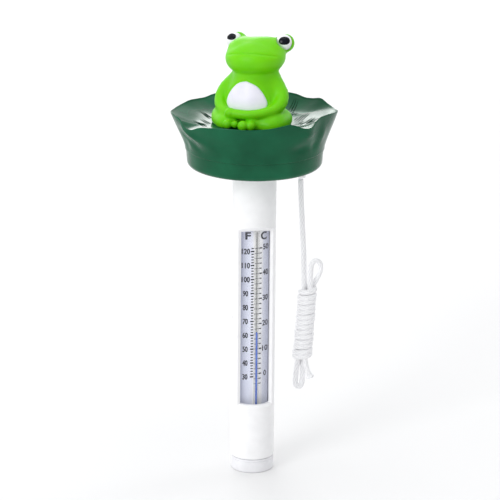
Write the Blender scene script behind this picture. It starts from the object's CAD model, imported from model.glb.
import bpy
import math
import numpy as np
import openvdb
from mathutils import Matrix, Vector


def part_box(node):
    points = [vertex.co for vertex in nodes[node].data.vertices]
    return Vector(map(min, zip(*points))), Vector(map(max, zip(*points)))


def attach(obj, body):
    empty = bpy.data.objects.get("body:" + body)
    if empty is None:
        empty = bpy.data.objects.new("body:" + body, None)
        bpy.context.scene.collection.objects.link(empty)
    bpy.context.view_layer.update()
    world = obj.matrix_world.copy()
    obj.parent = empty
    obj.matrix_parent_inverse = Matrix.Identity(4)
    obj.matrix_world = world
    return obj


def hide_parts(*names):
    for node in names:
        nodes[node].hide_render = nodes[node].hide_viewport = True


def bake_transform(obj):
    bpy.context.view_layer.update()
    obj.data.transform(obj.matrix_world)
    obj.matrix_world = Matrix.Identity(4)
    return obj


# Looks of the floating pool thermometer. Shapes are worked out in millimetres in the frame of the packed
# model and made in metres.

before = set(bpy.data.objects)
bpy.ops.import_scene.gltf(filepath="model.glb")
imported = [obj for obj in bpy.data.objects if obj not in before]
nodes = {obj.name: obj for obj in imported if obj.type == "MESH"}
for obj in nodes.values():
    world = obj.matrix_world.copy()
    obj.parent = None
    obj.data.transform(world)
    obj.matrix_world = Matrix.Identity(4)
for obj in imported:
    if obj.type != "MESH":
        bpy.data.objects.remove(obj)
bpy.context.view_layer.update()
MM = 0.001
random = np.random.default_rng(11)

FIGURE_TURN = math.radians(-27.5)
HEAD_TURN = math.radians(9.0)      # the head looks a little less to the side than the body
HEAD_LEAN = 0.03                   # rise of the head's features for each millimetre to its left
LEAF_TOP = 207.0                   # where the figure sits
SEAM_TOP = 191.45                  # lower edge of the leaf's drum, above the base pan
INSERT_TURN = math.radians(13.0)   # the jacket's contents are turned a little in the window


# ---------------------------------------------------------------- mesh helpers
def mesh_object(name, points, faces, material, smooth=True):
    """A mesh object from points in millimetres."""
    mesh = bpy.data.meshes.new(name)
    places = [tuple(point) for point in np.asarray(points, float) * MM]
    mesh.from_pydata(places, [], [tuple(map(int, face)) for face in faces])
    mesh.update()
    mesh.polygons.foreach_set("use_smooth", [smooth] * len(mesh.polygons))
    obj = bpy.data.objects.new(name, mesh)
    bpy.context.scene.collection.objects.link(obj)
    mesh.materials.append(material)
    return obj


def point_attribute(obj, name, values):
    """Store one number for each vertex, for a material to read."""
    layer = obj.data.attributes.new(name, "FLOAT", "POINT")
    layer.data.foreach_set("value", np.asarray(values, np.float32))


def grid_faces(rows, columns, close_rows=False, close_columns=True):
    """Quads of a grid of points stored row by row."""
    faces = []
    for i in range(rows if close_rows else rows - 1):
        for j in range(columns if close_columns else columns - 1):
            a, b = i * columns + j, i * columns + (j + 1) % columns
            c, d = ((i + 1) % rows) * columns + (j + 1) % columns, ((i + 1) % rows) * columns + j
            faces.append((a, b, c, d))
    return faces


def end_fans(around, last_row, first, last):
    """Triangles that close a grid: from the point first to row 0, and from the point last to the last row."""
    faces = []
    for j in range(around):
        k = (j + 1) % around
        faces += [(first, k, j), (last, last_row + j, last_row + k)]
    return faces


def nurbs_points(route, resolution=8):
    """Points in millimetres along the smooth NURBS spline of a route."""
    curve = bpy.data.curves.new("route", "CURVE")
    curve.dimensions = "3D"
    curve.resolution_u = resolution
    spline = curve.splines.new("NURBS")
    spline.points.add(len(route) - 1)
    for point, place in zip(spline.points, route):
        point.co = (*(np.array(place) * MM), 1)
    spline.order_u = 3
    spline.use_endpoint_u = True
    holder = bpy.data.objects.new("route", curve)
    line = bpy.data.meshes.new_from_object(holder)
    points = np.array([v.co[:] for v in line.vertices]) / MM
    bpy.data.objects.remove(holder)
    bpy.data.curves.remove(curve)
    bpy.data.meshes.remove(line)
    return points


def even_points(points, step):
    """The same line with points a given step apart."""
    along = np.concatenate([[0], np.cumsum(np.linalg.norm(np.diff(points, axis=0), axis=1))])
    keep = np.concatenate([[True], np.diff(along) > 1e-9])
    points, along = points[keep], along[keep]
    places = np.linspace(0, along[-1], max(2, int(along[-1] / step) + 1))
    return np.stack([np.interp(places, along, points[:, k]) for k in range(3)], axis=1), places


def line_frames(points):
    """Two unit vectors across the line at each point, turned as little as possible along it."""
    tangents = np.gradient(points, axis=0)
    tangents /= np.linalg.norm(tangents, axis=1)[:, None]
    side = np.cross(tangents[0], (0.0, 0.0, 1.0))
    if np.linalg.norm(side) < 0.1:
        side = np.cross(tangents[0], (0.0, 1.0, 0.0))
    sides = []
    for tangent in tangents:
        side = side - (side @ tangent) * tangent
        side = side / np.linalg.norm(side)
        sides.append(side)
    sides = np.array(sides)
    return sides, np.cross(tangents, sides)


BRAID_STRANDS, BRAID_PITCH = 6, 3.4
BRAID_SINK, BRAID_RELIEF = 0.13, 0.2       # depth of the gaps below the cord's radius, and height of a strand


def braided_tube(name, points, radius, material, step=0.3, around=24, swell=None):
    """A braided cord along points in millimetres. swell gives extra radius by place along it."""
    points, along = even_points(points, step)
    sides, ups = line_frames(points)
    angle = np.arange(around) * 2 * math.pi / around
    u, v = np.meshgrid(angle, along)
    left = np.abs(np.sin(u * BRAID_STRANDS / 2 + math.pi * v / BRAID_PITCH))
    right = np.abs(np.sin(u * BRAID_STRANDS / 2 - math.pi * v / BRAID_PITCH))
    height = np.sqrt(left * right)
    reach = radius - BRAID_SINK + BRAID_RELIEF * height
    if swell is not None:
        reach = reach + swell(along)[:, None]
    ring = (np.cos(u)[..., None] * sides[:, None] + np.sin(u)[..., None] * ups[:, None]) * reach[..., None]
    verts = (points[:, None] + ring).reshape(-1, 3)
    faces = grid_faces(len(points), around)
    first, last = len(verts), len(verts) + 1
    verts = np.vstack([verts, points[:1], points[-1:]])
    faces += end_fans(around, (len(points) - 1) * around, first, last)
    obj = mesh_object(name, verts, faces, material)
    point_attribute(obj, "braid", np.concatenate([height.reshape(-1), [0, 0]]))
    return obj, points


# ---------------------------------------------------------------- material helpers
def srgb(r, g, b):
    """Linear colour from the usual 0 to 255 values."""
    shares = (r / 255, g / 255, b / 255)
    return (*(c / 12.92 if c <= 0.04045 else ((c + 0.055) / 1.055) ** 2.4 for c in shares), 1.0)


def plastic(name, dark, light, roughness, grain=180.0, bump=0.15, bump_scale=900.0, rough_spread=0.06,
            **sockets):
    """Moulded plastic: a little colour and gloss variation, and a fine surface texture. Further keywords
    set the shader's sockets of those names."""
    material = bpy.data.materials.new(name)
    material.use_nodes = True
    tree = material.node_tree
    shader = tree.nodes["Principled BSDF"]
    place = tree.nodes.new("ShaderNodeTexCoord")
    noise = tree.nodes.new("ShaderNodeTexNoise")
    noise.inputs["Scale"].default_value = grain
    noise.inputs["Detail"].default_value = 4
    tree.links.new(place.outputs["Object"], noise.inputs["Vector"])
    ramp = tree.nodes.new("ShaderNodeValToRGB")
    ramp.color_ramp.elements[0].position = 0.3
    ramp.color_ramp.elements[1].position = 0.7
    ramp.color_ramp.elements[0].color = dark
    ramp.color_ramp.elements[1].color = light
    tree.links.new(noise.outputs["Fac"], ramp.inputs["Fac"])
    tree.links.new(ramp.outputs["Color"], shader.inputs["Base Color"])
    spread = tree.nodes.new("ShaderNodeMapRange")
    spread.inputs["To Min"].default_value = roughness - rough_spread
    spread.inputs["To Max"].default_value = roughness + rough_spread
    tree.links.new(noise.outputs["Fac"], spread.inputs["Value"])
    tree.links.new(spread.outputs["Result"], shader.inputs["Roughness"])
    fine = tree.nodes.new("ShaderNodeTexNoise")
    fine.inputs["Scale"].default_value = bump_scale
    fine.inputs["Detail"].default_value = 3
    tree.links.new(place.outputs["Object"], fine.inputs["Vector"])
    bumps = tree.nodes.new("ShaderNodeBump")
    bumps.inputs["Strength"].default_value = bump
    bumps.inputs["Distance"].default_value = 0.05 * MM
    tree.links.new(fine.outputs["Fac"], bumps.inputs["Height"])
    tree.links.new(bumps.outputs["Normal"], shader.inputs["Normal"])
    for socket, value in sockets.items():
        shader.inputs[socket.replace("_", " ")].default_value = value
    return material


def multiply_colour(tree, shader, colour):
    """Multiply the shader's base colour by another colour, and return the result's socket."""
    mix = tree.nodes.new("ShaderNodeMix")
    mix.data_type = "RGBA"
    mix.blend_type = "MULTIPLY"
    mix.inputs["Factor"].default_value = 1.0
    tree.links.new(shader.inputs["Base Color"].links[0].from_socket, mix.inputs["A"])
    tree.links.new(colour, mix.inputs["B"])
    tree.links.new(mix.outputs["Result"], shader.inputs["Base Color"])
    return mix.outputs["Result"]


white_shell = plastic("white_abs", srgb(244, 244, 245), srgb(249, 249, 250), 0.3, Specular_IOR_Level=0.35)
cap_white = plastic("cap_abs", srgb(232, 232, 235), srgb(240, 240, 243), 0.36)
leaf_green = plastic("leaf_vinyl", srgb(5, 73, 47), srgb(18, 97, 65), 0.22, grain=42.0, bump=0.2,
                     bump_scale=300.0, Specular_IOR_Level=0.17)
vein_green = plastic("leaf_vein", srgb(5, 34, 24), srgb(9, 44, 30), 0.6, Specular_IOR_Level=0.0)
frog_green = plastic("frog_vinyl", srgb(106, 204, 5), srgb(118, 212, 9), 0.4, grain=70.0, bump=0.2,
                     bump_scale=500.0, Subsurface_Weight=0.2, Subsurface_Scale=0.002, Specular_IOR_Level=0.2)
belly_white = plastic("belly_paint", srgb(232, 230, 244), srgb(240, 238, 249), 0.4)
eye_white = plastic("eye_paint", srgb(240, 240, 243), srgb(248, 248, 250), 0.3)
pupil_black = plastic("pupil_gloss", srgb(6, 8, 16), srgb(12, 14, 26), 0.14, Specular_IOR_Level=0.2)
steel = plastic("steel_turned", srgb(150, 152, 156), srgb(172, 174, 178), 0.3, Metallic=1.0)
rubber = plastic("seal_rubber", srgb(38, 38, 42), srgb(50, 50, 54), 0.6)
print_ink = plastic("scale_ink", srgb(6, 8, 20), srgb(12, 14, 28), 0.7, Specular_IOR_Level=0.1)
print_faint = plastic("scale_ink_faint", srgb(104, 108, 124), srgb(120, 124, 140), 0.5)
spirit_blue = plastic("blue_spirit", srgb(32, 88, 200), srgb(46, 106, 214), 0.25)
inner_white = plastic("inner_plastic", srgb(222, 222, 226), srgb(230, 230, 234), 0.45)


def cord_material():
    """White braided cord: shade in the gaps of the braid, and fibres over it."""
    material = plastic("cord_braid", srgb(249, 249, 250), srgb(252, 252, 253), 0.75, grain=700.0, bump=0.4,
                       bump_scale=2600.0)
    tree = material.node_tree
    shader = tree.nodes["Principled BSDF"]
    braid = tree.nodes.new("ShaderNodeAttribute")
    braid.attribute_name = "braid"
    shade = tree.nodes.new("ShaderNodeValToRGB")
    shade.color_ramp.elements[0].position = 0.1
    shade.color_ramp.elements[0].color = srgb(222, 222, 226)
    shade.color_ramp.elements[1].position = 0.6
    shade.color_ramp.elements[1].color = (1, 1, 1, 1)
    tree.links.new(braid.outputs["Fac"], shade.inputs["Fac"])
    multiply_colour(tree, shader, shade.outputs["Color"])
    return material


CARD_HALF_WIDTH = 8.5
CARD_GLOW = 0.16                   # light that the card takes up through the clear jacket


def card_material():
    """Printed card: lavender columns each side of a white middle, across the card's own width."""
    material = plastic("scale_card_print", srgb(240, 240, 242), srgb(248, 248, 250), 0.4)
    tree = material.node_tree
    shader = tree.nodes["Principled BSDF"]
    place = tree.nodes.new("ShaderNodeTexCoord")
    across = tree.nodes.new("ShaderNodeVectorMath")
    across.operation = "DOT_PRODUCT"
    across.inputs[1].default_value = (math.cos(INSERT_TURN), math.sin(INSERT_TURN), 0)
    tree.links.new(place.outputs["Object"], across.inputs[0])
    spread = tree.nodes.new("ShaderNodeMapRange")
    spread.inputs["From Min"].default_value = -CARD_HALF_WIDTH * MM
    spread.inputs["From Max"].default_value = CARD_HALF_WIDTH * MM
    tree.links.new(across.outputs["Value"], spread.inputs["Value"])
    tint = tree.nodes.new("ShaderNodeValToRGB")
    stops = [
        (0.0, srgb(206, 210, 230)), (0.1, srgb(222, 226, 242)), (0.3, srgb(228, 232, 245)),
        (0.41, srgb(238, 240, 248)), (0.45, srgb(252, 252, 250)), (0.74, srgb(253, 253, 252)),
        (0.8, srgb(234, 237, 248)), (1.0, srgb(222, 226, 242)),
    ]
    ramp = tint.color_ramp
    while len(ramp.elements) < len(stops):
        ramp.elements.new(0.5)
    for element, (position, colour) in zip(ramp.elements, stops):
        element.position = position
        element.color = colour
    tree.links.new(spread.outputs["Result"], tint.inputs["Fac"])
    tinted = multiply_colour(tree, shader, tint.outputs["Color"])
    tree.links.new(tinted, shader.inputs["Emission Color"])
    shader.inputs["Emission Strength"].default_value = CARD_GLOW
    return material


CLEAR_BLEND, CLEAR_REFLECTION = 0.35, 0.12


def clear_material(name, colour, facing_alpha, edge_alpha, roughness):
    """Clear wall: nearly unseen face on, and showing more towards its edges."""
    material = plastic(name, colour, colour, roughness, rough_spread=0.02)
    tree = material.node_tree
    shader = tree.nodes["Principled BSDF"]
    facing = tree.nodes.new("ShaderNodeLayerWeight")
    facing.inputs["Blend"].default_value = CLEAR_BLEND
    alpha = tree.nodes.new("ShaderNodeMapRange")
    alpha.inputs["To Min"].default_value = facing_alpha
    alpha.inputs["To Max"].default_value = edge_alpha
    tree.links.new(facing.outputs["Facing"], alpha.inputs["Value"])
    tree.links.new(alpha.outputs["Result"], shader.inputs["Alpha"])
    shader.inputs["Specular IOR Level"].default_value = CLEAR_REFLECTION
    return material


cord_white = cord_material()
card_print = card_material()
jacket_clear = clear_material("jacket_clear", srgb(232, 234, 246), 0.02, 0.3, 0.08)
stem_clear = clear_material("stem_glass", srgb(244, 246, 238), 0.04, 0.28, 0.08)

node_materials = {
    "tube_body": white_shell, "end_cap": cap_white, "tube_plug": white_shell, "retaining_ring": steel,
    "cap_seal": rubber, "stem_seal": rubber, "lower_cushion": rubber, "upper_cushion": rubber,
    "base_gasket": leaf_green, "ballast_slug": steel, "base_screws": steel, "figure_screws": steel,
    "glass_jacket": jacket_clear, "jacket_stopper": inner_white, "scale_card": card_print,
    "capillary_stem": stem_clear, "spirit_bulb": spirit_blue, "spirit_meniscus": spirit_blue,
    "float_base": leaf_green, "figure_plug": frog_green,
}
for node, material in node_materials.items():
    owner = nodes[node]
    if not owner.material_slots:
        owner.data.materials.append(material)
    for slot in owner.material_slots:
        slot.material = material

# ---------------------------------------------------------------- camera
TILT = math.radians(17.0)         # camera above the horizon
YAW = math.radians(3.5)           # camera stands a little to the left of the window's middle
ROLL = math.radians(0.47)
DISTANCE = 1.7
HALF_VIEW = 0.142                 # half of the picture's width at the target, in metres
TARGET_ASIDE, TARGET_HEIGHT = -2.2, 130.9
camera_right = Vector((math.cos(YAW), -math.sin(YAW), 0))
target = camera_right * (TARGET_ASIDE * MM) + Vector((0, 0, TARGET_HEIGHT * MM))
camera_back = Vector((-math.sin(YAW) * math.cos(TILT), -math.cos(YAW) * math.cos(TILT), math.sin(TILT)))
camera_up = camera_back.cross(camera_right)
camera_data = bpy.data.cameras.new("camera")
camera_data.angle = 2 * math.atan(HALF_VIEW / DISTANCE)
camera_data.clip_start = 0.05
camera = bpy.data.objects.new("camera", camera_data)
rotation = Matrix((camera_right, camera_up, camera_back)).transposed() @ Matrix.Rotation(ROLL, 3, "Z")
camera.matrix_world = Matrix.Translation(target + camera_back * DISTANCE) @ rotation.to_4x4()
bpy.context.scene.collection.objects.link(camera)
bpy.context.scene.camera = camera
bpy.context.scene.view_settings.view_transform = "Standard"

# ---------------------------------------------------------------- tether cord
CORD_RADIUS = 1.55
hank_low, hank_high = np.array((29.6, 16.3, 60.9)), np.array((32.2, 16.1, 101.2))


def in_hank(share, angle, radius):
    """A point in the hank: share of its height, angle round its axis in degrees, distance from the axis."""
    turn = math.radians(angle)
    outwards = np.array((math.cos(turn), math.sin(turn), 0))
    return tuple(hank_low + share * (hank_high - hank_low) + radius * outwards)


# Down the drop and through the hank's core, round the fold below it, up again and round the ear above it,
# down to its foot, round it from foot to top, and through it to the free end.
route = [(27.4, 16.4, 167.7), (28.1, 16.4, 150.0), (29.9, 16.3, 122.0), (30.3, 16.2, 101.2)]
route += [in_hank(share, 180, 1.9) for share in (0.8, 0.6, 0.4, 0.2, 0.02)]
route += [(26.4, 16.3, 55.0), (25.9, 16.2, 49.0), (25.8, 16.2, 44.6), (26.8, 16.2, 42.9), (28.4, 16.2, 42.8)]
route += [(29.7, 16.2, 44.2), (30.0, 16.2, 49.0), (30.0, 16.4, 55.0)]
route += [in_hank(share, 70, 1.9) for share in (0.02, 0.2, 0.4, 0.6, 0.8)]
route += [(34.3, 17.6, 100.0), (36.4, 17.6, 106.0), (39.4, 17.0, 111.8), (39.8, 16.4, 117.0)]
route += [(37.0, 15.8, 120.0), (34.2, 15.2, 118.2), (33.5, 14.6, 111.5), (33.6, 14.4, 104.5)]
route += [in_hank(share, -40, 2.0) for share in (0.9, 0.7, 0.5, 0.3, 0.14)]
route += [in_hank(0.06, -10, 2.4), in_hank(0.02, 30, 3.4)]
TURNS, STEPS = 14, 14              # turns round the hank, and points in each
for k in range(TURNS * STEPS + 1):
    share = k / (TURNS * STEPS)
    loose = 4.4 - 0.4 * share + 0.12 * math.sin(share * 23.0) + 0.07 * math.sin(share * 71.0 + 1.0)
    height = -0.01 + 1.045 * share + 0.004 * math.sin(share * 47.0)
    route.append(in_hank(height, 70 + share * TURNS * 360, loose))
route += [in_hank(1.045, 100, 3.4), in_hank(1.02, 140, 2.6), in_hank(0.95, 190, 2.1), in_hank(0.85, 230, 2.0)]
route += [in_hank(share, 265, 2.0) for share in (0.7, 0.5, 0.3, 0.12)]
route += [(30.8, 13.8, 61.8), (31.5, 13.3, 56.8), (32.6, 13.2, 53.4), (33.4, 13.4, 51.4)]

cord, cord_line = braided_tube("tether_braid", nurbs_points(route), CORD_RADIUS, cord_white)
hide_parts("tether_cord", "tether_ear", "tether_tail", "tether_hank", "tether_fold")
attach(cord, "float")

# The loop through the lug, and two turns round the cord below it, drawn tight.
LUG_X, LUG_Y, LOOP_Z, COIL_TOP = 27.4, 16.4, 175.8, 172.3
LOOP_RADIUS, COIL_RADIUS, KNOT_CORD_RADIUS = 3.4, 1.75, 1.3
knot_route = [(LUG_X, LUG_Y, 168.2), (LUG_X, LUG_Y, 170.5), (LUG_X, 15.2, 172.4)]
for k in range(9):
    turn = math.radians(-60 + k * 35 - 90)
    across, up = LOOP_RADIUS * math.cos(turn + 0.4), LOOP_RADIUS * math.sin(turn + 0.4)
    knot_route.append((LUG_X, LUG_Y + across, LOOP_Z + up))
knot_route.append((LUG_X, 17.6, 172.4))
for k in range(23):
    turn = math.radians(70 + k * 30)
    across, along = COIL_RADIUS * math.cos(turn), COIL_RADIUS * math.sin(turn)
    knot_route.append((LUG_X + across, LUG_Y + along, COIL_TOP - k * 0.11))
knot, _ = braided_tube("tether_knot_braid", nurbs_points(knot_route), KNOT_CORD_RADIUS, cord_white)
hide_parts("tether_knot")
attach(knot, "float")

# The free end, a little frayed and swollen.
TIP_SWELL, TIP_SWELL_LENGTH = 0.75, 1.6
tip_line = np.array([(33.4, 13.4, 51.4), (33.7, 13.45, 50.7), (34.1, 13.5, 49.8), (34.35, 13.55, 49.25)])
tip, _ = braided_tube("tether_tip_braid", tip_line, CORD_RADIUS, cord_white, step=0.2,
                      swell=lambda along: TIP_SWELL * np.clip(along / TIP_SWELL_LENGTH, 0, 1) ** 1.5)
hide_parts("tether_tip")
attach(tip, "float")

# ---------------------------------------------------------------- leaf
# The rim's course round the leaf: angle in degrees, radius and height.
rim = [
    (-3.0, 46.4, 212.6), (8.5, 46.0, 211.6), (21.8, 45.6, 212.0), (31.3, 45.4, 213.4),
    (38.8, 44.2, 212.4), (45.0, 43.6, 212.1), (53.0, 43.3, 213.2), (61.2, 43.2, 213.6),
    (88.0, 42.3, 213.8), (116.4, 43.6, 213.1), (121.1, 44.0, 212.5), (126.0, 44.6, 211.5),
    (133.6, 44.8, 211.5), (142.0, 45.2, 211.8), (150.7, 45.6, 211.3), (162.2, 46.0, 211.3),
    (171.0, 46.6, 211.6), (180.0, 47.4, 212.2), (188.9, 46.3, 212.0), (197.5, 45.0, 211.1),
    (203.1, 44.4, 208.3), (210.4, 44.2, 207.4), (222.5, 43.8, 210.3), (231.6, 43.2, 211.1),
    (243.0, 42.5, 211.8), (252.9, 41.9, 211.7), (262.8, 41.7, 211.6), (271.0, 41.9, 212.0),
    (279.4, 42.3, 212.6), (286.7, 42.7, 213.5), (294.0, 43.1, 214.1), (299.2, 43.5, 212.9),
    (304.6, 43.7, 211.2), (310.5, 43.6, 210.4), (314.8, 43.2, 211.0), (319.9, 42.7, 213.3),
    (325.4, 42.4, 214.3), (333.2, 43.0, 214.4), (341.2, 44.2, 214.0), (349.0, 45.4, 213.2),
]
rim_angle, rim_radius, rim_height = (np.array(column) for column in zip(*rim))
FLAT_RADIUS = 24.0                 # the leaf's upper face is level inside this radius


def round_course(angles, places, values):
    """Smooth values round a closed course, through the values at its places, in degrees."""
    wrapped = np.concatenate([places - 360, places, places + 360])
    repeated = np.tile(values, 3)
    slopes = np.gradient(repeated, wrapped)
    angles = (angles - places[0]) % 360 + places[0]
    cell = np.clip(np.searchsorted(wrapped, angles, side="right") - 1, 0, len(wrapped) - 2)
    width = wrapped[cell + 1] - wrapped[cell]
    t = (angles - wrapped[cell]) / width
    return (
        (2 * t ** 3 - 3 * t ** 2 + 1) * repeated[cell] + (t ** 3 - 2 * t ** 2 + t) * width * slopes[cell]
        + (-2 * t ** 3 + 3 * t ** 2) * repeated[cell + 1] + (t ** 3 - t ** 2) * width * slopes[cell + 1]
    )


def dish_height(x, y):
    """Height of the leaf's upper face."""
    angle = np.degrees(np.arctan2(y, x))
    reach = round_course(angle, rim_angle, rim_radius)
    top = round_course(angle, rim_angle, rim_height)
    share = np.clip((np.hypot(x, y) - FLAT_RADIUS) / (reach - FLAT_RADIUS), 0, 1.2)
    wave = 0.35 * np.sin(np.radians(angle) * 7 + 1.0) * share * (1 - np.clip(share, 0, 1)) * 4
    return LEAF_TOP + (top - LEAF_TOP) * share ** 2.3 + wave


AROUND = 480
angles = np.arange(AROUND) * 360 / AROUND
turns = np.radians(angles)
reach = round_course(angles, rim_angle, rim_radius)
top = round_course(angles, rim_angle, rim_height)
DRUM_RADIUS, DRUM_INSIDE, CAVITY_TOP = 39.25, 36.6, 204.6
RIM_SIDE = (-0.05, -0.55)          # where the rolled rim meets the skirt, from the rim's course
SKIRT_ROWS = 26


def level(value):
    """The same radius or height all the way round."""
    return np.full(AROUND, value)


# Rows of points from the upper face's middle over the rim, down the skirt, and back up inside the cavity.
rows = []
for share in np.concatenate([np.linspace(0.02, 0.5, 10), np.linspace(0.53, 0.985, 22)]):
    r = share * reach
    rows.append((r, dish_height(r * np.cos(turns), r * np.sin(turns))))
for radius, height in ((-0.48, 0.2), (-0.28, 0.28), (-0.08, 0.16), (0.0, -0.12), RIM_SIDE):
    rows.append((reach + radius, top + height))
skirt = slice(len(rows), len(rows) + SKIRT_ROWS + 1)
for t in np.linspace(0.06, 1, SKIRT_ROWS):
    start = np.array([reach + RIM_SIDE[0], top + RIM_SIDE[1]])
    lean = np.array([reach * 0.45 + 39.4 * 0.55, level(201.0)])
    foot = np.array([level(39.3), level(195.6)])
    end = np.array([level(DRUM_RADIUS), level(SEAM_TOP + 0.3)])
    upper = (1 - t) ** 3 * start + 3 * (1 - t) ** 2 * t * lean
    rows.append(tuple(upper + 3 * (1 - t) * t ** 2 * foot + t ** 3 * end))
inside_rows = [(DRUM_RADIUS - 0.3, SEAM_TOP), (DRUM_INSIDE, SEAM_TOP)]
inside_rows += [(DRUM_INSIDE, height) for height in (196.0, 200.0, 204.0)]
inside_rows += [(radius, CAVITY_TOP) for radius in (36.0, 24.0, 12.0, 0.8)]
rows += [(level(radius), level(height)) for radius, height in inside_rows]
radii = np.array([row[0] for row in rows])
heights = np.array([row[1] for row in rows])


def press(centre_angle, centre_height, half_angle, half_height, depth, lean=0.0):
    """Push the skirt in or out about one place. lean slopes a long fold, in mm of height per degree."""
    away = (angles[None, :] - centre_angle + 180) % 360 - 180
    up = heights[skirt] - centre_height - lean * away
    radii[skirt] += depth * np.exp(-(away / half_angle) ** 2 - (up / half_height) ** 2)


press(211, 204.2, 13, 2.2, 1.3, lean=-0.24)
press(207, 199.5, 12, 2.4, -1.1, lean=-0.24)
press(311, 206.2, 7, 2.2, 0.7)
press(306, 198.8, 9, 2.8, -1.3)
press(331, 203.6, 6, 4.5, 0.9, lean=0.1)
press(322, 199.0, 5, 3.2, -0.8)
press(243, 200.5, 12, 3.2, -0.6)
press(196, 197.0, 6, 4.0, -0.7)
press(40, 205.0, 8, 3.0, -0.5)
press(125, 204.0, 7, 3.0, 0.6)
press(160, 203.5, 9, 3.5, -0.5)
press(75, 199.0, 10, 2.6, -0.5)

points = np.stack([radii * np.cos(turns), radii * np.sin(turns), heights], axis=-1).reshape(-1, 3)
faces = grid_faces(len(radii), AROUND)
centre_top, centre_low = len(points), len(points) + 1
points = np.vstack([points, [(0, 0, LEAF_TOP), (0, 0, CAVITY_TOP)]])
faces += end_fans(AROUND, (len(radii) - 1) * AROUND, centre_top, centre_low)
faces = [tuple(reversed(face)) for face in faces]
leaf = mesh_object("leaf_shell", points, faces, leaf_green)
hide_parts("leaf_float")
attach(leaf, "float")

# Fine raised veins on the upper face, drawn in pairs, each between two places given by x and y.
vein_lines = [
    (20.9, 14.9, 26.1, 31.9), (20.8, 20.6, 25.0, 31.9), (21.8, 9.9, 24.6, 17.8),
    (22.1, -5.8, 30.7, 15.3), (22.9, -7.1, 31.6, 14.0), (21.7, -2.5, 25.9, 7.5),
    (26.6, -9.3, 34.0, 2.8), (27.3, -11.7, 34.9, -0.8), (23.3, -11.4, 27.9, -2.6),
    (-24.5, -10.3, -30.7, 3.5), (-28.2, -16.5, -34.8, -0.9), (-27.0, -14.4, -32.8, -5.4),
    (-24.9, 6.2, -30.9, 19.4), (-23.5, 2.0, -28.5, 12.5), (-12.0, 24.0, -17.0, 34.0),
    (-4.0, 25.0, -6.0, 35.5), (5.0, 25.0, 7.5, 35.0), (12.0, 23.5, 17.0, 33.5),
]
VEIN_HALF_WIDTH, VEIN_HEIGHT, VEIN_SINK = 0.36, 0.3, -0.2
vein_section = ((-VEIN_HALF_WIDTH, VEIN_SINK), (0.0, VEIN_HEIGHT), (VEIN_HALF_WIDTH, VEIN_SINK))
vein_points, vein_faces = [], []
for x0, y0, x1, y1 in vein_lines:
    start, end = np.array((x0, y0)), np.array((x1, y1))
    heading = (end - start) / np.linalg.norm(end - start)
    across = np.array((-heading[1], heading[0]))
    for beside in (-0.9, 0.5):
        shift_start, shift_end = random.uniform(0, 2.5, 2)
        places = np.linspace(shift_start, np.linalg.norm(end - start) - shift_end, 16)
        middle = start + places[:, None] * heading + beside * across
        taper = np.sin(np.linspace(0.3, math.pi - 0.2, len(middle)))
        first = len(vein_points)
        for centre, width in zip(middle, taper):
            for shift, lift in vein_section:
                x, y = centre + shift * width * across
                vein_points.append((x, y, float(dish_height(x, y)) + lift * width))
        count = len(middle)
        for i in range(count - 1):
            a = first + 3 * i
            vein_faces += [(a, a + 3, a + 4, a + 1), (a + 1, a + 4, a + 5, a + 2), (a, a + 2, a + 5, a + 3)]
        last = first + 3 * count - 1
        vein_faces += [(first, first + 1, first + 2), (last - 2, last, last - 1)]
veins = mesh_object("leaf_veins", vein_points, vein_faces, vein_green)
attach(veins, "float")


# ---------------------------------------------------------------- frog
# Worked out as a distance field in the frog's own frame: x to its left, y behind it, z up, origin
# under its middle on the leaf.
CELL, BAND = 0.42, 3.0             # size of a cell, and cells that are kept each side of a surface
low_corner, high_corner = np.array((-28.0, -29.0, -1.5)), np.array((28.0, 22.0, 54.0))
counts = np.ceil((high_corner - low_corner) / CELL).astype(int)
X, Y, Z = np.meshgrid(*(low_corner[k] + CELL * np.arange(counts[k]) for k in range(3)), indexing="ij")
X, Y, Z = X.astype(np.float32), Y.astype(np.float32), Z.astype(np.float32)


def ball(centre, radii, x=X, y=Y, z=Z):
    """Distance to an egg shape with three radii."""
    px, py, pz = x - centre[0], y - centre[1], z - centre[2]
    inner = np.sqrt((px / radii[0]) ** 2 + (py / radii[1]) ** 2 + (pz / radii[2]) ** 2) + 1e-6
    steep = np.sqrt((px / radii[0] ** 2) ** 2 + (py / radii[1] ** 2) ** 2 + (pz / radii[2] ** 2) ** 2) + 1e-6
    return inner * (inner - 1) / steep


def limb(a, b, start, end):
    """Distance to a rounded bar whose radius goes from start to end."""
    a, b = np.array(a, float), np.array(b, float)
    span = b - a
    share = ((X - a[0]) * span[0] + (Y - a[1]) * span[1] + (Z - a[2]) * span[2]) / (span @ span)
    share = np.clip(share, 0, 1)
    away = np.sqrt((X - a[0] - share * span[0]) ** 2 + (Y - a[1] - share * span[1]) ** 2
                   + (Z - a[2] - share * span[2]) ** 2)
    return away - (start + (end - start) * share)


def join(a, b, soft):
    """Union of two distance fields with a soft fillet."""
    share = np.clip(0.5 + 0.5 * (b - a) / soft, 0, 1)
    return b * (1 - share) + a * share - soft * share * (1 - share)


def cut(a, b, soft):
    """The first field less the second, with a soft edge."""
    return -join(-a, b, soft)


torso = ball((0, 0, 10.0), (17.0, 16.4, 19.0))
body = join(torso, limb((0, 0, 20), (0, 0, 32), 12.7, 12.0), 3.0)

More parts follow.
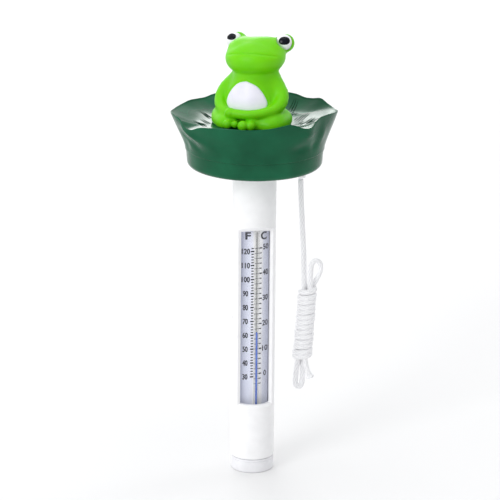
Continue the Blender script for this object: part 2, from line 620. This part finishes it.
# The head is worked out in its own axes, turned from the body's and leaning a little.
HX = X * math.cos(HEAD_TURN) + Y * math.sin(HEAD_TURN)
HY = Y * math.cos(HEAD_TURN) - X * math.sin(HEAD_TURN)
HZ = Z - HEAD_LEAN * HX
head_axes = (HX, HY, HZ)
head = ball((0, 0, 36.4), (16.9, 15.8, 10.2), *head_axes)
head = join(head, ball((0, -0.6, 34.2), (14.6, 14.0, 6.6), *head_axes), 2.5)
for side in (-1, 1):
    head = join(head, ball((side * 9.0, 3.5, 42.0), (6.5, 7.5, 4.4), *head_axes), 4.0)
    bump = (15.0, 8.2, 43.0) if side == 1 else (-12.8, 9.6, 43.0)
    head = join(head, ball(bump, (5.1, 5.0, 5.1), *head_axes), 2.4)
head = join(head, ball((2.5, 2.0, 42.2), (10.5, 7.0, 4.9), *head_axes), 2.5)
mouth = np.exp(-((HZ - 41.2 + 0.012 * HX ** 2) / 0.42) ** 2) * np.clip((-HY - 5) / 5, 0, 1)
head = head + 0.6 * mouth
body = join(body, head, 0.9)


def arm(way, girth):
    """An arm along a smooth line through the given places, with its radius there."""
    line = nurbs_points(way, 4)
    widths = np.interp(np.linspace(0, 1, len(line)), np.linspace(0, 1, len(girth)), girth)
    field = None
    for a, b, start, end in zip(line[:-1:2], line[2::2], widths[:-1:2], widths[2::2]):
        piece = limb(a, b, start, end)
        field = piece if field is None else np.minimum(field, piece)
    return field


near_arm = arm([(11.0, 1.5, 24.5), (15.6, -0.5, 20.0), (18.0, -3.6, 15.0), (17.6, -8.5, 11.0),
                (14.0, -13.8, 9.0), (8.2, -17.8, 8.0), (1.5, -19.6, 7.7), (-5.6, -19.6, 7.9)],
               [3.2, 4.0, 4.0, 3.6, 3.1, 2.8, 2.6, 2.6])
far_arm = arm([(-11.0, 1.5, 24.5), (-15.6, -0.5, 20.0), (-18.2, -3.6, 14.6), (-17.6, -8.5, 10.4),
               (-14.2, -13.4, 8.2), (-9.8, -16.6, 7.2), (-5.6, -17.6, 6.6)],
              [3.2, 4.0, 4.0, 3.6, 3.1, 2.8, 2.6])
shoulders = np.clip((Z - 13.0) / 9.0, 0, 1)
arms = join(near_arm, far_arm, 0.8)
arms = join(arms, ball((-6.2, -19.6, 7.9), (3.4, 2.9, 3.0)), 1.0)
arm_fillet = 0.8 + 4.5 * shoulders
front = join(body, arms + 12 * np.clip((14.0 - Z) / 3.0, 0, 1), arm_fillet)     # without the lower arms
body = join(body, arms, arm_fillet)

for side in (-1, 1):
    leg = join(ball((side * 13.7, -4.0, 3.0), (9.6, 11.5, 6.8)),
               limb((side * 13.6, -9.0, 2.2), (side * 6.2, -17.4, 2.4), 6.6, 4.0), 3.5)
    body = join(body, leg, 1.2)
body = join(body, ball((15.0, -9.5, 2.2), (7.6, 9.0, 5.4)), 3.0)
body = join(body, ball((-12.5, -12.0, 2.2), (7.4, 8.6, 5.0)), 3.0)
body = join(body, ball((-9.4, -17.6, 2.0), (6.2, 6.2, 4.4)), 2.0)
for x, y, r in ((-6.2, -24.0, 2.5), (-2.3, -22.4, 2.0), (3.1, -23.8, 2.9), (7.0, -21.6, 2.7)):
    toe_bone = limb((x * 0.96, y + 7, 2.0), (x, y + 1, 2.2), r - 0.4, r - 0.3)
    body = join(body, join(ball((x, y, 2.6), (r, r, r)), toe_bone, 0.6), 0.6)
body = np.maximum(body, -Z)

eye_places = {1: (14.6, 6.0, 43.8), -1: (-14.2, 7.2, 43.7)}
eye_looks = {1: (20.0, 27.0), -1: (20.0, 42.0)}      # outwards and upwards, in degrees
eye_radius = 4.6
pupil_sizes = {1: math.radians(43), -1: math.radians(38)}
PUPIL_RAISE = 0.22


def look_direction(side):
    """Where an eye looks, in the head's own axes."""
    outwards, upwards = (math.radians(turn) for turn in eye_looks[side])
    return np.array((side * math.sin(outwards) * math.cos(upwards), -math.cos(outwards) * math.cos(upwards),
                     math.sin(upwards)))


for side, place in eye_places.items():
    socket = ball(place, (eye_radius + 0.1,) * 3, *head_axes)
    for along in (1.5, 3.0, 4.5, 6.0):
        opening = ball(place + along * look_direction(side), (eye_radius - 0.1,) * 3, *head_axes)
        socket = np.minimum(socket, opening)
    body = cut(body, socket, 0.5)

# Belly patch: a raised pad on the torso inside a rounded triangle.
patch_outline = [(0.0, 25.2), (5.0, 23.9), (9.0, 19.9), (11.8, 15.4), (12.6, 11.6), (9.8, 8.6), (0.0, 8.2),
                 (-9.8, 8.6), (-12.6, 11.6), (-11.8, 15.4), (-9.0, 19.9), (-5.0, 23.9)]
closed = [(x, 0.0, z) for x, z in patch_outline + patch_outline[:2]]
edge = nurbs_points(closed, 6)[:, [0, 2]]
edge = edge[: int(len(edge) * len(patch_outline) / (len(patch_outline) + 1))]
px, pz = X[:, 0, :], Z[:, 0, :]
nearest = np.full(px.shape, 1e9)
inside = np.zeros(px.shape, bool)
for a, b in zip(edge, np.roll(edge, -1, axis=0)):
    span = b - a
    if span @ span < 1e-12:
        continue
    share = np.clip(((px - a[0]) * span[0] + (pz - a[1]) * span[1]) / (span @ span), 0, 1)
    nearest = np.minimum(nearest, np.hypot(px - a[0] - share * span[0], pz - a[1] - share * span[1]))
    crosses = ((a[1] > pz) != (b[1] > pz)) & (px < a[0] + (pz - a[1]) / (b[1] - a[1] + 1e-12) * span[0])
    inside ^= crosses
outline = np.where(inside, -nearest, nearest)[:, None, :]
groove = np.exp(-((outline - 0.25) / 0.4) ** 2) * np.clip(-(Y + 3.0), 0, 1) * np.clip((Z - 9.5) / 2.0, 0, 1)
body = body + 0.4 * groove * np.clip((arms - 0.3) / 1.0, 0, 1)


def from_head(points):
    """From the head's own axes to the frog's frame."""
    points = np.asarray(points, float)
    c, s = math.cos(HEAD_TURN), math.sin(HEAD_TURN)
    return np.stack([points[:, 0] * c - points[:, 1] * s, points[:, 0] * s + points[:, 1] * c,
                     points[:, 2] + HEAD_LEAN * points[:, 0]], axis=1)


def to_model(points):
    """From the frog's own frame to the model's."""
    points = np.asarray(points, float)
    c, s = math.cos(FIGURE_TURN), math.sin(FIGURE_TURN)
    return np.stack([points[:, 0] * c - points[:, 1] * s, points[:, 0] * s + points[:, 1] * c,
                     points[:, 2] + LEAF_TOP], axis=1)


def skin(name, field, material):
    """Mesh of a distance field's surface."""
    volume = openvdb.FloatGrid(BAND)
    volume.copyFromArray(np.ascontiguousarray(np.clip(field / CELL, -BAND, BAND).astype(np.float32)))
    verts, triangles, quads = volume.convertToPolygons(isovalue=0.0, adaptivity=0.0)
    faces = [tuple(reversed(face)) for face in triangles.tolist() + quads.tolist()]
    return mesh_object(name, to_model(verts * CELL + low_corner), faces, material)


frog = skin("frog_body", body, frog_green)
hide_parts("frog_figure")
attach(frog, "float")

patch = np.maximum(-join(-(front - 0.4), -outline, 0.5), np.maximum(-(front + 1.0), Y + 2))
belly = skin("frog_belly", patch, belly_white)
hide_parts("belly_patch")
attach(belly, "float")


def eye(name, side, node):
    """An eyeball with a raised glossy pupil, turned outwards."""
    look = look_direction(side)
    across = np.cross(look, (0, 0, 1.0))
    across /= np.linalg.norm(across)
    up = np.cross(across, look)
    pupil, around = pupil_sizes[side], 64
    over_pupil = np.append(np.linspace(0.03, 0.92, 12), (0.96, 0.99, 1.02, 1.05)) * pupil
    tilts = np.append(over_pupil, np.linspace(1.15 * pupil, math.pi - 0.03, 26))
    turns = np.arange(around) * 2 * math.pi / around
    points = []
    for tilt in tilts:
        raise_by = PUPIL_RAISE * np.clip((1.03 * pupil - tilt) / (0.1 * pupil), 0, 1)
        oval = 1.0 - 0.3 * np.sin(turns) ** 2 * (1 - np.clip((tilt - 1.1 * pupil) / (0.6 * pupil), 0, 1))
        lean = tilt * oval
        r = eye_radius + raise_by
        points.append(r * (np.cos(lean)[:, None] * look + np.sin(lean)[:, None]
                           * (np.cos(turns)[:, None] * across + np.sin(turns)[:, None] * up)))
    points = np.array(points).reshape(-1, 3)
    faces = grid_faces(len(tilts), around)
    front, back = len(points), len(points) + 1
    points = np.vstack([points, [look * (eye_radius + PUPIL_RAISE), -look * eye_radius]]) + eye_places[side]
    faces += end_fans(around, (len(tilts) - 1) * around, front, back)
    obj = mesh_object(name, to_model(from_head(points)), faces, eye_white)
    obj.data.materials.append(pupil_black)
    dark_rows = int(np.sum(tilts < pupil))
    for index, face in enumerate(faces):
        if len(face) == 4 and index < (dark_rows - 1) * around or front in face:
            obj.data.polygons[index].material_index = 1
    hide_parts(node)
    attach(obj, "float")
    return obj


eye("frog_eye_left", 1, "eye_left")
eye("frog_eye_right", -1, "eye_right")

# ---------------------------------------------------------------- scale print
insert = Matrix.Rotation(INSERT_TURN, 4, "Z")
CARD_FRONT, CARD_CURVE = -3.4, 16.0        # y of the card's middle, and radius of its curve


def on_card(x, z, lift):
    """Place above the card's printed face, in the model's frame, in millimetres."""
    reach = CARD_CURVE + lift
    y = CARD_FRONT + CARD_CURVE - np.sqrt(reach ** 2 - np.asarray(x, float) ** 2)
    x, y = np.asarray(x, float), np.asarray(y, float)
    c, s = math.cos(INSERT_TURN), math.sin(INSERT_TURN)
    return np.stack([x * c - y * s, x * s + y * c, np.broadcast_to(z, x.shape)], axis=-1)


PRINT_LIFT, PRINT_LAYER = 0.03, 0.006      # print above the card, and one print above another
bold_shifts = ((-1, 0.7), (-0.5, -0.7), (0, 0.7), (0.5, -0.7), (1, 0.7))


def letters(text, x, z, height, width, bold):
    """Points and faces of a text centred at x, z on the card, fitted to a height and a width, in bold by
    five prints close together."""
    curve = bpy.data.curves.new("letters", "FONT")
    curve.body = text
    curve.resolution_u = 3
    holder = bpy.data.objects.new("letters", curve)
    flat = bpy.data.meshes.new_from_object(holder)
    places = np.array([v.co[:] for v in flat.vertices])
    faces = [tuple(p.vertices) for p in flat.polygons]
    bpy.data.objects.remove(holder)
    bpy.data.curves.remove(curve)
    bpy.data.meshes.remove(flat)
    low, high = places.min(axis=0), places.max(axis=0)
    fitted = (places[:, :2] - (low[:2] + high[:2]) / 2) / (high[:2] - low[:2])
    prints, print_faces = [], []
    for layer, (aside, up) in enumerate(bold_shifts):
        print_faces += [tuple(layer * len(fitted) + i for i in face) for face in faces]
        prints.append(on_card(x + bold * aside + fitted[:, 0] * width, z + bold * up + fitted[:, 1] * height,
                              PRINT_LIFT + PRINT_LAYER * layer))
    return np.vstack(prints), print_faces


def bar(x0, x1, z, thickness):
    """Points and faces of a tick on the card."""
    xs = np.linspace(x0, x1, 4)
    low = on_card(xs, np.full(4, z - thickness / 2), PRINT_LIFT)
    high = on_card(xs, np.full(4, z + thickness / 2), PRINT_LIFT)
    return np.vstack([low, high]), [(i, i + 1, i + 5, i + 4) for i in range(3)]


def gather(name, parts, material):
    """One mesh of several flat prints."""
    points, faces = [], []
    for part_points, part_faces in parts:
        first = len(points)
        points += list(part_points)
        faces += [tuple(first + i for i in face) for face in part_faces]
    obj = mesh_object(name, points, faces, material, smooth=False)
    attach(obj, "tube")
    return obj


SCALE_LOW, SCALE_STEP = 55.9, 0.8362        # height of 30 Fahrenheit, and of one degree more
HEADING_BOLD, DIGIT_BOLD, DIGIT_HEIGHT = 0.26, 0.14, 3.2


def scale_height(fahrenheit):
    """Height on the card of a temperature."""
    return SCALE_LOW + (fahrenheit - 30) * SCALE_STEP


def from_celsius(celsius):
    return 32 + 1.8 * celsius


dark, faint = [], []
dark.append(letters("F", -4.3, 140.4, 4.1, 2.6, HEADING_BOLD))
dark.append(letters("C", 5.1, 139.9, 4.3, 3.5, HEADING_BOLD))
for value in range(30, 121, 10):
    middle, width = (-5.4, 4.2) if value >= 100 else (-5.5, 2.6)
    dark.append(letters(str(value), middle, scale_height(value), DIGIT_HEIGHT, width, DIGIT_BOLD))
for value in range(30, 123, 2):
    left, right, thickness = (-2.7, -0.75, 0.84) if value % 10 == 0 else (-2.4, -1.0, 0.66)
    dark.append(bar(left, right, scale_height(value), thickness))
for value in range(0, 51, 10):
    height = scale_height(from_celsius(value)) - 0.2 + 0.014 * value
    dark.append(letters(str(value), 6.4, height, DIGIT_HEIGHT, 1.6 if value == 0 else 3.4, DIGIT_BOLD))
for value in range(-4, 51, 2):
    right, thickness = (4.1, 0.8) if value % 10 == 0 else (3.8, 0.62)
    height = scale_height(from_celsius(value))
    dark.append(bar(2.5, right, height, thickness))
    faint.append(bar(-0.6, 2.4, height, 0.36))
gather("scale_numbers", dark, print_ink)
gather("scale_lines_behind_stem", faint, print_faint)

# ---------------------------------------------------------------- spirit column
stem = insert @ Vector((0.55, -5.15, 0))
column_low, column_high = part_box("spirit_column")
THREAD_RADIUS, THREAD_TOP, THREAD_ROWS, THREAD_AROUND = 0.62, 83.3, 90, 20
rings = np.linspace(column_low.z / MM, THREAD_TOP - 0.5, THREAD_ROWS)
rings = np.append(rings, (THREAD_TOP - 0.2, THREAD_TOP))
widths = np.append(np.full(THREAD_ROWS, THREAD_RADIUS), (0.8 * THREAD_RADIUS, 0.3 * THREAD_RADIUS))
turns = np.arange(THREAD_AROUND) * 2 * math.pi / THREAD_AROUND
points = [
    (stem.x + r * math.cos(t), stem.y + r * math.sin(t), z)
    for r, z in zip(widths, rings) for t in turns
]
faces = grid_faces(len(rings), THREAD_AROUND)
faces.append(tuple(range(THREAD_AROUND - 1, -1, -1)))
faces.append(tuple(range(len(points) - THREAD_AROUND, len(points))))
column = mesh_object("spirit_thread", points, faces, spirit_blue)
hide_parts("spirit_column")
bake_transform(column)

# ---------------------------------------------------------------- floor and light
floor_material = plastic("floor_pale", srgb(226, 226, 226), srgb(228, 228, 228), 0.7, grain=3.0, bump=0.02,
                         Specular_IOR_Level=0.1)
floor_shader = floor_material.node_tree.nodes["Principled BSDF"]
floor_shader.inputs["Emission Color"].default_value = (1, 1, 1, 1)
floor_shader.inputs["Emission Strength"].default_value = 0.06
FLOOR = 6000                       # half width
floor_corners = [(-FLOOR, -FLOOR, 0), (FLOOR, -FLOOR, 0), (FLOOR, FLOOR, 0), (-FLOOR, FLOOR, 0)]
floor = mesh_object("floor", floor_corners, [(0, 1, 2, 3)], floor_material, smooth=False)


def softbox(name, place, aim_height, width, height, power):
    """A rectangular area light at place, in metres, turned to a height on the object's axis."""
    data = bpy.data.lights.new(name, "AREA")
    data.shape = "RECTANGLE"
    data.size, data.size_y = width, height
    data.energy = power
    obj = bpy.data.objects.new(name, data)
    obj.location = place
    obj.rotation_euler = (Vector((0, 0, aim_height)) - Vector(place)).to_track_quat("-Z", "Y").to_euler()
    bpy.context.scene.collection.objects.link(obj)


softbox("key_left", (-1.6, -1.8, 1.2), 0.14, 1.1, 1.1, 24)
softbox("back", (-0.35, 1.8, 0.78), 0.2, 1.1, 0.6, 8.5)
softbox("back_right", (1.5, 0.9, 0.9), 0.2, 0.6, 0.6, 3)
softbox("top", (0.0, -0.1, 2.0), 0.1, 1.4, 1.4, 8)

# Studio surroundings: brightest behind the object and to its left.
BRIGHT_SIDE, DIM, BRIGHT = (-0.47, 0.83, 0.3), 0.46, 1.04
world = bpy.data.worlds.new("studio")
world.use_nodes = True
sky = world.node_tree
background = sky.nodes["Background"]
background.inputs["Color"].default_value = (0.98, 0.985, 1.0, 1)
heading = sky.nodes.new("ShaderNodeTexCoord")
towards = sky.nodes.new("ShaderNodeVectorMath")
towards.operation = "DOT_PRODUCT"
towards.inputs[1].default_value = BRIGHT_SIDE
sky.links.new(heading.outputs["Generated"], towards.inputs[0])
strength = sky.nodes.new("ShaderNodeMapRange")
strength.inputs["From Min"].default_value = -1.0
strength.inputs["To Min"].default_value = DIM
strength.inputs["To Max"].default_value = BRIGHT
sky.links.new(towards.outputs["Value"], strength.inputs["Value"])
sky.links.new(strength.outputs["Result"], background.inputs["Strength"])
bpy.context.scene.world = world
